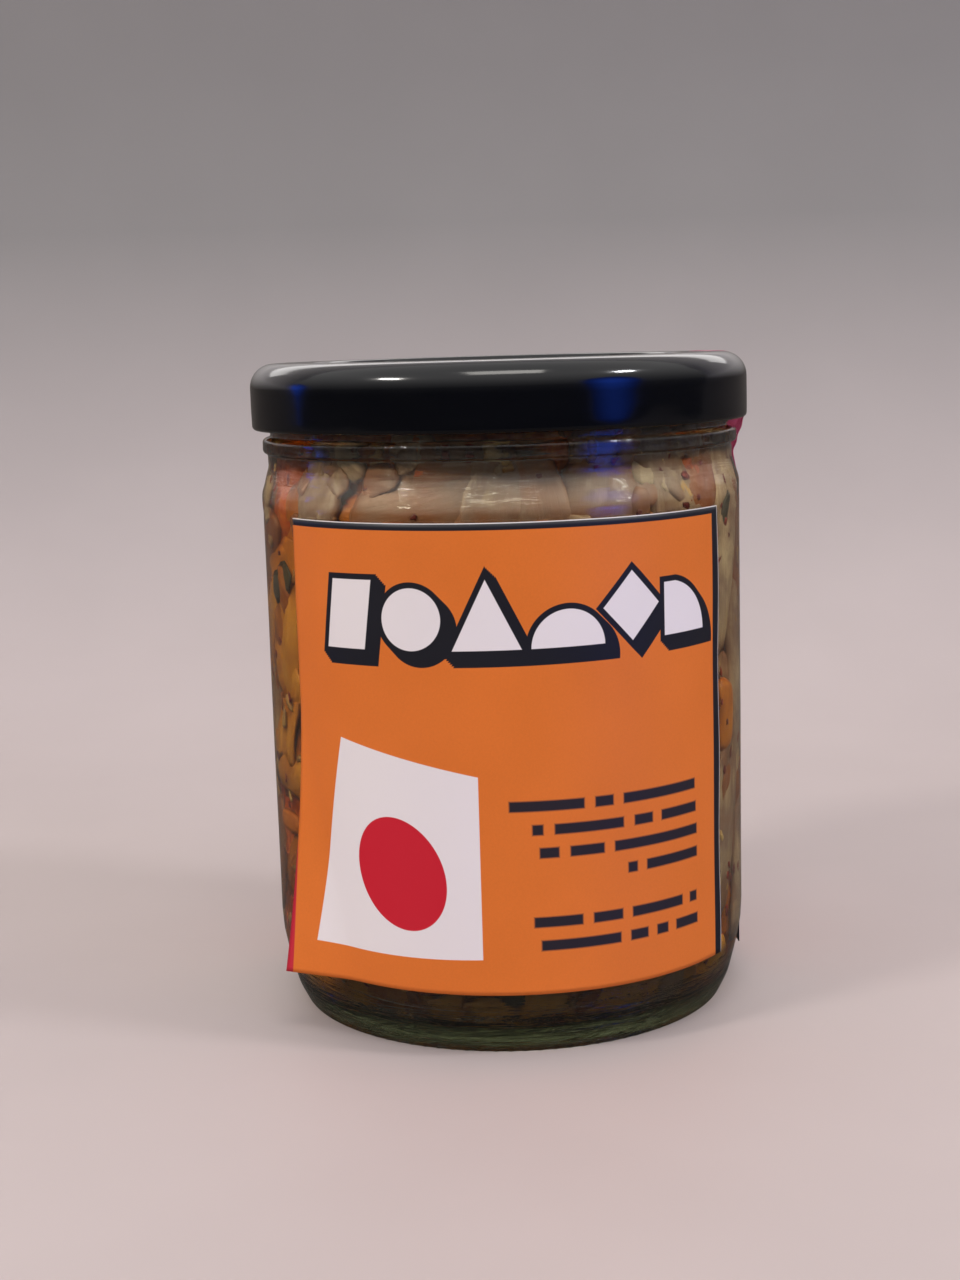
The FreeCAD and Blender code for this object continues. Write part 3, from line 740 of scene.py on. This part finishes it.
# %% Seal strip
STRIP_TURN = math.radians(99)
STRIP_HALF = 14.5 / LID_RADIUS / 2
on_lid = LID_RADIUS + GLUE
on_crest = LID_CREST + GLUE
seal_path = rounded([
    (LID_RADIUS - 6.3, on_crest, 0), (on_lid, on_crest, 4.16), (on_lid, LID_EDGE, 2.0),
    (WAIST + 0.55, SHOULDER_TOP, 3.0), (BODY + GLUE + 0.06, SHOULDER_FOOT, 3.0),
    (BODY + GLUE + 0.06, SEAL_FOOT, 0)], 0.5)
seal_across = np.array([p.x for p in seal_path])
seal_up = np.array([p.y for p in seal_path])
seal_out = np.stack([-np.gradient(seal_up), np.gradient(seal_across)], axis=-1)
seal_out = -seal_out / np.linalg.norm(seal_out, axis=-1, keepdims=True)


def seal_spot(across, up, out):
    """Follows the strip's side view, with small creases where it bridges the neck."""
    step = up * (len(seal_path) - 1)
    rows = np.arange(len(seal_path))
    normal = [np.interp(step, rows, seal_out[:, i]) for i in (0, 1)]
    radius = np.interp(step, rows, seal_across)
    height = np.interp(step, rows, seal_up)
    free = window(height, SHOULDER_TOP + 1, LID_EDGE - 1, 2)
    crease = 0.10 * free * np.sin(17 * across + 2.2 * height)
    radius = radius + normal[0] * (out + crease)
    azimuth = STRIP_TURN + STRIP_HALF * (2 * across - 1)
    return np.stack([radius * np.sin(azimuth), -radius * np.cos(azimuth), height + normal[1] * out], axis=-1)


seal_paper = Finish("dark_red_paper", {
    "IOR": 1.5, "Subsurface Weight": 0.8, "Subsurface Radius": (1.0, 0.5, 0.6), "Subsurface Scale": 0.002})
fibres = seal_paper.noise(0.5, 5, 0.75)
seal_paper.set("Base Color", seal_paper.blend(
    seal_paper.fade(fibres, 0.3, 0.7), tone(128, 58, 78), tone(152, 78, 98)))
seal_paper.set("Roughness", seal_paper.noise(6, 2, 0.5) * 0.2 + 0.5)
seal_paper.bump(seal_paper.noise(0.25, 4, 0.7), 0.03, 0.5)
paper_sheet("seal_paper_strip", 25, len(seal_path), seal_spot,
            lambda across, up: (across * 14.5, up * 40), seal_paper, "seal_paper", "seal_strip")

# %% [markdown]
# ## Filling
# The jar is packed: cut cabbage lies flat against the glass in an orange brine, and behind it is a
# dense mash. Three things make that: a core of mash a few millimetres behind the wall, cut pieces
# pressed between the core and the glass, and brine that fills the rest. The brine reaches just into
# the wall, because a gap of air would turn the inside of the glass into a mirror.

# %% Mash
FILL_TOP = extent("kimchi")[1].z - 1.8


def lumps(radius, height, azimuth):
    """Uneven mash: deep soft lumps, finer crumbs, and a waved top."""
    side = window(height, 6, 102, 3) * (radius > 10)
    out = side * (1.1 * swell(azimuth, height, 31, 16, 16) + 0.5 * swell(azimuth, height, 32, 40, 7)
                  + 0.22 * swell(azimuth, height, 33, 90, 3))
    top = (height > 101) * (radius < 32) * (radius > 0.01)
    return np.clip(out, -2.4, 2.2), top * 0.8 * swell(azimuth * 3, radius, 34, 3, 18)


mash = Finish("chilli_mash", {"IOR": 1.38})
grain = mash.noise(1.5, 5, 0.7)
patches = mash.noise(10, 3, 0.55)
colour = mash.ramp(mash.fade(patches * 0.65 + grain * 0.5, 0.35, 0.8),
                   (0.0, tone(112, 44, 18)), (0.4, tone(164, 78, 30)),
                   (0.7, tone(190, 112, 44)), (1.0, tone(206, 150, 90)))
mash.set("Base Color", colour)
mash.set("Roughness", grain * 0.3 + 0.35)
mash.bump(grain, 0.5, 0.6)
core_outline = rounded([(0, 5.2, 0), (32, 5.0, 5.5), (BODY - WALL - 3.2, 13, 6), (BODY - WALL - 3.2, 88, 4),
                        (BORE - 3.0, 94, 4), (BORE - 3.0, FILL_TOP - 1, 2.5), (0, FILL_TOP - 0.4, 0)], 0.9)
finished("mash_core", *turned(core_outline, 300, lumps), mash, "kimchi", ["kimchi"])

# %% Brine
REACH = 0.12
brine_outline = [Vector((0, FILL_TOP)), Vector((BORE - 6, FILL_TOP))]
for p in glass_outline[rim_row:]:
    if p.y < FILL_TOP:
        brine_outline.append(Vector((p.x + REACH * (p.x > 1), p.y - REACH * (p.y < FLOOR + 6))))


def follow_glass(radius, height, azimuth):
    """The same slow unevenness as the inside of the glass."""
    return (radius > 30) * inner_waves(azimuth, height), 0 * radius


brine = Finish("orange_brine", {
    "Base Color": (1.0, 0.985, 0.95, 1), "Transmission Weight": 1.0, "IOR": 1.34})
brine.set("Roughness", brine.fade(brine.noise(8, 3, 0.6), 0.4, 0.7) * 0.06)
brine.clear((1.0, 0.97, 0.92, 1), 190, (0.92, 0.64, 0.2, 1))
finished("brine", *turned(brine_outline, 256, follow_glass), brine, "kimchi", ["kimchi"])

# %% [markdown]
# ## Cut pieces
# A cut piece is a thin pillow: a front skin, a back skin, and a ragged outline where they meet. It
# is drawn flat, in millimetres, and then wrapped onto the inside of the glass at some depth, so it
# can't poke through. Stems are thick and ribbed, leaves are thin and curl away from the glass, and
# carrot, onion green, ginger and chilli are the same pillow at other sizes. Each kind is one mesh.

# %% One pillow
class Kind:
    """All cut pieces of one vegetable, gathered into one mesh."""

    def __init__(self, name, seed, grid, curl, rib, ragged):
        self.name = name
        self.rng = np.random.default_rng(seed)
        self.grid = grid
        self.curl = curl
        self.rib = rib
        self.ragged = ragged
        self.points = []
        self.faces = []
        self.stains = []
        self.cuts = []

    def add(self, azimuth, height, length, width, turn, thick, depth, stain=None):
        """One piece: azimuth in degrees, the rest in millimetres; turn is from level, in degrees."""
        rng = self.rng
        rows, columns = self.grid
        along, across = np.meshgrid(np.linspace(-1, 1, rows), np.linspace(-1, 1, columns), indexing="ij")
        wave = [rng.uniform(0, 2 * math.pi) for _ in range(6)]
        taper = rng.uniform(-0.22, 0.22)
        outline_w = (1 - 0.35 * np.abs(along) ** 5) * (1 + taper * along)
        notches = np.sin(3.1 * along + wave[0]) + 0.5 * np.sin(8 * along + wave[1])
        outline_w = outline_w * (1 + self.ragged * notches)
        outline_l = 1 - 0.12 * across ** 2 + self.ragged * np.sin(2.7 * across + wave[2]) * 0.6
        s = along * length / 2 * outline_l
        t = across * width / 2 * outline_w + 0.06 * length * np.sin(1.6 * along + wave[3])
        body = np.sqrt(np.clip((1 - np.abs(along) ** 6) * (1 - np.abs(across) ** 4), 0, 1))
        fold = self.curl * (0.5 + 0.5 * np.sin(s * 2 * math.pi / (0.7 * length + 4) + wave[4] + 0.12 * t))
        fold = fold + 0.35 * self.curl * (0.5 + 0.5 * np.sin(t * 0.9 + wave[5] + 0.25 * s))
        veins = self.rib * (0.5 + 0.5 * np.cos(t * 2 * math.pi / 2.1 + 0.3 * np.sin(s * 0.35 + wave[1])))
        angle = math.radians(turn)
        level = s * math.cos(angle) - t * math.sin(angle)
        z = np.clip(height + s * math.sin(angle) + t * math.cos(angle), FLOOR + 1.0, FILL_TOP - 0.5)
        middle = depth + thick / 2 + fold
        start = len(self.points)
        shade = rng.uniform(0, 1) if stain is None else stain
        for side in (-1, 1):
            deep = middle + side * thick / 2 * body + (veins * body if side < 0 else 0)
            radius = np.clip(bore(z) - deep, 1, None)
            bearing = math.radians(azimuth) + level / (BODY - WALL)
            spots = np.stack([radius * np.sin(bearing), -radius * np.cos(bearing), z], axis=-1)
            self.points.extend(spots.reshape(-1, 3))
            tint = np.clip(shade + 0.3 * (1 - body) + 0.12 * np.sin(0.5 * s + wave[2]), 0, 1)
            self.stains.extend(tint.ravel())
            self.cuts.extend(np.stack([s, t, 0 * s + 20 * shade], axis=-1).reshape(-1, 3))
            skin = start + (0 if side < 0 else rows * columns)
            for row in range(rows - 1):
                for column in range(columns - 1):
                    corner = skin + row * columns + column
                    self.faces.append((corner, corner + columns, corner + columns + 1, corner + 1))

    def make(self, finish):
        """Builds the one mesh, each point marked with its stain and its place on its own piece."""
        return finished(self.name, self.points, self.faces, finish, "kimchi", ["kimchi"],
                        [("stain", self.stains), ("cut", self.cuts)])


# %% Kinds of piece
stems = Kind("cabbage_stems", 41, (24, 13), 0.5, 0.16, 0.07)
leaves = Kind("cabbage_leaves", 42, (30, 18), 2.0, 0.10, 0.16)
carrots = Kind("carrot_strips", 43, (16, 8), 0.2, 0.05, 0.05)
greens = Kind("onion_greens", 44, (18, 6), 0.8, 0.12, 0.12)
ginger = Kind("ginger_slivers", 45, (7, 5), 0.1, 0.0, 0.18)
flakes = Kind("chilli_flakes", 46, (5, 4), 0.15, 0.0, 0.25)

# %% Pieces that show plainly at the front and sides
stems.add(-52, 88, 15, 11, 82, 2.6, 0.15, 0.25)
stems.add(-4, 91, 17, 12, 84, 2.8, 0.25, 0.5)
stems.add(9, 90, 17, 11, 97, 2.6, 0.35, 0.62)
leaves.add(17, 87, 16, 9, 12, 1.0, 0.2, 0.75)
leaves.add(-30, 86, 18, 7, 176, 1.0, 0.15, 0.8)
stems.add(-22, 90, 24, 15, 12, 2.4, 0.5, 0.62)
stems.add(26, 91, 18, 14, 70, 2.4, 0.4, 0.55)
stems.add(44, 90, 24, 13, 100, 2.6, 0.2, 0.35)
stems.add(67, 80, 40, 13, 86, 3.0, 0.15, 0.1)
stems.add(76, 58, 34, 12, 96, 3.0, 0.2, 0.2)
stems.add(66, 32, 34, 14, 80, 3.0, 0.2, 0.3)
stems.add(80, 22, 26, 12, 90, 2.6, 0.3, 0.15)
leaves.add(-65, 68, 30, 20, 105, 1.2, 0.15, 0.35)
leaves.add(-66, 50, 24, 18, 70, 1.2, 0.2, 0.45)
leaves.add(-78, 60, 34, 18, 92, 1.2, 0.2, 0.3)
leaves.add(-60, 25, 30, 18, 85, 1.2, 0.8, 0.85)
greens.add(-69, 76, 9, 6, 15, 0.9, 0.1, 0.8)
greens.add(64, 84, 14, 3, 40, 0.8, 0.1, 0.9)
carrots.add(67, 51, 13, 8, 84, 3.2, 0.12, 0.3)
carrots.add(18, 8.5, 6, 3, 30, 2.0, 0.1, 0.9)
# The leaves along the foot get the palest stains, 0 and 0.05: painted light that lifts the bottom of the
# filling, where little light reaches.
for azimuth in (-24, -9, 6):
    leaves.add(azimuth, 7.6, 15, 5.0, 3, 1.8, 0.2, 0.0)
for azimuth in (-58, -40, 24, 42, 60):
    leaves.add(azimuth, 8.6, 17, 7.0, 6, 1.6, 0.2, 0.05)

# %% The rest, packed all round
packing = np.random.default_rng(47)
for layer_depth, across_pitch, up_pitch in ((0.35, 24, 14.5), (2.2, 26, 16)):
    rings = int(97 / up_pitch)
    for ring in range(rings):
        places = int(360 / across_pitch)
        for place in range(places):
            azimuth = (place + 0.5 * (ring % 2) + packing.uniform(-0.3, 0.3)) * across_pitch
            height = 9 + (ring + packing.uniform(-0.3, 0.3)) * up_pitch
            turn = packing.normal(90, 38)
            depth = layer_depth + packing.uniform(0, 1.1)
            choice = packing.uniform()
            if choice < 0.46:
                stems.add(azimuth, height, packing.uniform(18, 32), packing.uniform(9, 15), turn,
                          packing.uniform(2.2, 3.2), depth)
            elif choice < 0.88:
                leaves.add(azimuth, height, packing.uniform(18, 30), packing.uniform(13, 22), turn,
                           packing.uniform(0.8, 1.3), depth)
            elif choice < 0.94:
                carrots.add(azimuth, height, packing.uniform(12, 20), packing.uniform(3, 5.5), turn,
                            2.4, depth)
            else:
                greens.add(azimuth, height, packing.uniform(10, 20), packing.uniform(3, 6), turn, 0.8, depth)
for _ in range(90):
    stems.add(packing.uniform(0, 360), packing.uniform(83, 99), packing.uniform(4, 9), packing.uniform(3, 6),
              packing.uniform(0, 180), packing.uniform(1.0, 2.0), packing.uniform(0.1, 0.5))
for _ in range(520):
    flakes.add(packing.uniform(0, 360), packing.uniform(6, 103), packing.uniform(0.8, 2.4),
               packing.uniform(0.6, 1.5), packing.uniform(0, 180), 0.25, packing.uniform(0.1, 0.9))
for _ in range(150):
    ginger.add(packing.uniform(0, 360), packing.uniform(6, 103), packing.uniform(1.6, 4.2),
               packing.uniform(1.0, 2.2), packing.uniform(0, 180), 0.8, packing.uniform(0.1, 1.0))


# %% Finishes of the pieces
def vegetable(name, pale, middle, deep, pitch, relief):
    """Wet pickled skin: coloured by its stain, streaked along its length, and stained in clouds."""
    skin = Finish(name, {"IOR": 1.38})
    stain = skin.node("ShaderNodeAttribute", {"attribute_name": "stain"}, output="Fac")
    cut = skin.node("ShaderNodeAttribute", {"attribute_name": "cut"}, output="Vector")
    fibres = skin.noise(pitch, 4, 0.65, 0.3, where=cut, stretch=(0.12, 1, 1))
    clouds = skin.noise(5 * pitch, 3, 0.6, 0.6, where=cut)
    share = skin.fade(stain * 0.7 + fibres * 0.45 + clouds * 0.75, 0.35, 1.35)
    skin.set("Base Color", skin.ramp(share, (0.0, pale), (0.5, middle), (1.0, deep)))
    skin.set("Roughness", fibres * 0.25 + 0.3)
    skin.bump(fibres * 0.7 + clouds * 0.5, relief, 0.6)
    return skin


stems.make(vegetable("pickled_stem", tone(190, 170, 138), tone(122, 97, 82), tone(124, 70, 34), 1.3, 0.3))
leaves.make(vegetable("pickled_leaf", tone(196, 150, 62), tone(176, 116, 36), tone(122, 62, 20), 1.6, 0.5))
carrots.make(vegetable("pickled_carrot", tone(190, 122, 22), tone(170, 96, 8), tone(120, 60, 8), 1.2, 0.2))
greens.make(vegetable("pickled_green", tone(104, 98, 70), tone(76, 72, 52), tone(50, 46, 36), 0.9, 0.15))
ginger.make(vegetable("ginger", tone(190, 164, 112), tone(160, 124, 72), tone(128, 86, 42), 0.7, 0.1))
flakes.make(vegetable("chilli_flake", tone(140, 40, 24), tone(112, 28, 18), tone(74, 18, 12), 0.6, 0.1))

# %% [markdown]
# ## Floor and light
# A plain pale floor that curves up into a backdrop keeps the eye on the jar. Two small lamps at the
# sides give the glass its short bright marks, a wide one high in front lights the label, and a long
# low one behind draws the edge of the lid. The room is bright above and dark at eye level, so that
# the black lid has something dark to mirror, with two soft blue glows. The camera sees none of this:
# it sees a plain pale room. The floor carries a painted reflection: mirrors see it dimmer low down,
# which keeps the glass clear, and brighter high on the backdrop, which draws a band on the lid's crest.

# %% Floor and backdrop
floor_path = rounded([(-450, 0, 0), (420, 0, 260), (420, 900, 0)], 60)
points = []
faces = []
for number, spot in enumerate(floor_path):
    points += [(-1400 * MM, spot.x * MM, spot.y * MM), (1400 * MM, spot.x * MM, spot.y * MM)]
    if number:
        corner = 2 * number
        faces.append((corner - 2, corner - 1, corner + 1, corner))
floor_mesh = bpy.data.meshes.new("floor")
floor_mesh.from_pydata(points, [], faces)
for face in floor_mesh.polygons:
    face.use_smooth = True
floor = bpy.data.objects.new("floor", floor_mesh)
bpy.context.scene.collection.objects.link(floor)
pale = Finish("pale_floor", {"Roughness": 0.6})
height = pale.node("ShaderNodeSeparateXYZ", None, {0: pale.place()}, output="Z")
shade = pale.blend(pale.fade(height, 0, 160), tone(180, 167, 166), tone(120, 116, 115))
grain = pale.noise(60, 3, 0.5) * 0.12 + 0.94
shade = pale.node("ShaderNodeVectorMath", {"operation": "SCALE"}, {0: shade, "Scale": grain})
# Painted reflection: mirrors see the floor dark up to 110 mm and the backdrop bright above 230 mm, brighter
# than the camera sees it there, so the lid's crest shows a bright band.
painted_reflection_tone = pale.blend(pale.fade(height, 110, 230), tone(58, 50, 44), tone(226, 222, 218))
glossy = pale.node("ShaderNodeLightPath", output="Is Glossy Ray")
pale.set("Base Color", pale.blend(glossy, shade, painted_reflection_tone))
floor_mesh.materials.append(pale.material)


# %% Lamps and world
def lamp(name, azimuth, elevation, distance, width, height, watts, colour):
    """A soft lamp that faces the jar; azimuth from the front towards the right, in degrees."""
    light = bpy.data.lights.new(name, "AREA")
    light.shape = "RECTANGLE"
    light.size = width
    light.size_y = height
    light.energy = watts
    light.color = colour
    holder = bpy.data.objects.new(name, light)
    bpy.context.scene.collection.objects.link(holder)
    a, e = math.radians(azimuth), math.radians(elevation)
    aim = Vector((0, 0, 0.06))
    back = Vector((math.sin(a) * math.cos(e), -math.cos(a) * math.cos(e), math.sin(e)))
    holder.location = aim + back * distance
    holder.rotation_euler = back.to_track_quat("Z", "Y").to_euler()


lamp("left_lamp", -56, 40, 1.1, 0.16, 0.06, 3.5, (1.0, 0.96, 0.91))
lamp("right_lamp", 68, 41, 1.1, 0.16, 0.06, 3.5, (0.97, 0.97, 1.0))
lamp("front_lamp", 4, 62, 1.2, 0.5, 0.3, 3.1, (1.0, 0.96, 0.90))
lamp("back_lamp", 180, 36, 0.48, 0.8, 0.12, 0.6, (1.0, 0.98, 0.96))


class Room(Finish):
    """The world around, whose nodes are made in the same way as a finish's."""

    def __init__(self, name):
        world = bpy.data.worlds.new(name)
        bpy.context.scene.world = world
        world.use_nodes = True
        self.tree = world.node_tree
        self.tree.nodes.clear()

    def glow(self, way, azimuth, elevation, spread):
        """1 where the way looks at one place in the room, fading softly to 0 over spread degrees."""
        a, e = math.radians(azimuth), math.radians(elevation)
        aim = (math.sin(a) * math.cos(e), -math.cos(a) * math.cos(e), math.sin(e))
        near = self.node("ShaderNodeVectorMath", {"operation": "DOT_PRODUCT"}, {0: way, 1: aim},
                         output="Value")
        share = self.fade(near, math.cos(math.radians(spread)), 1.0)
        return share * share


room = Room("room")
way = room.node("ShaderNodeTexCoord", output="Generated")
lift = room.fade(room.node("ShaderNodeSeparateXYZ", None, {0: way}, output="Z"), 0.0, 0.7)
blue = room.glow(way, 52, 8, 17) + room.glow(way, -107, 6, 11)
lit = room.node("ShaderNodeBackground", None, {
    "Color": room.blend((blue * 12).at_most(1.0), (1.0, 0.98, 0.96, 1), (0.03, 0.13, 1.0, 1)),
    "Strength": lift + blue * 3.2 + 0.03})
plain = room.node("ShaderNodeBackground", None, {"Color": tone(192, 181, 180), "Strength": 1.0})
seen = room.node("ShaderNodeLightPath", output="Is Camera Ray")
sky = room.node("ShaderNodeMixShader", None, {0: seen, 1: lit, 2: plain})
room.node("ShaderNodeOutputWorld", None, {"Surface": sky})
bpy.context.scene.view_settings.view_transform = "Standard"
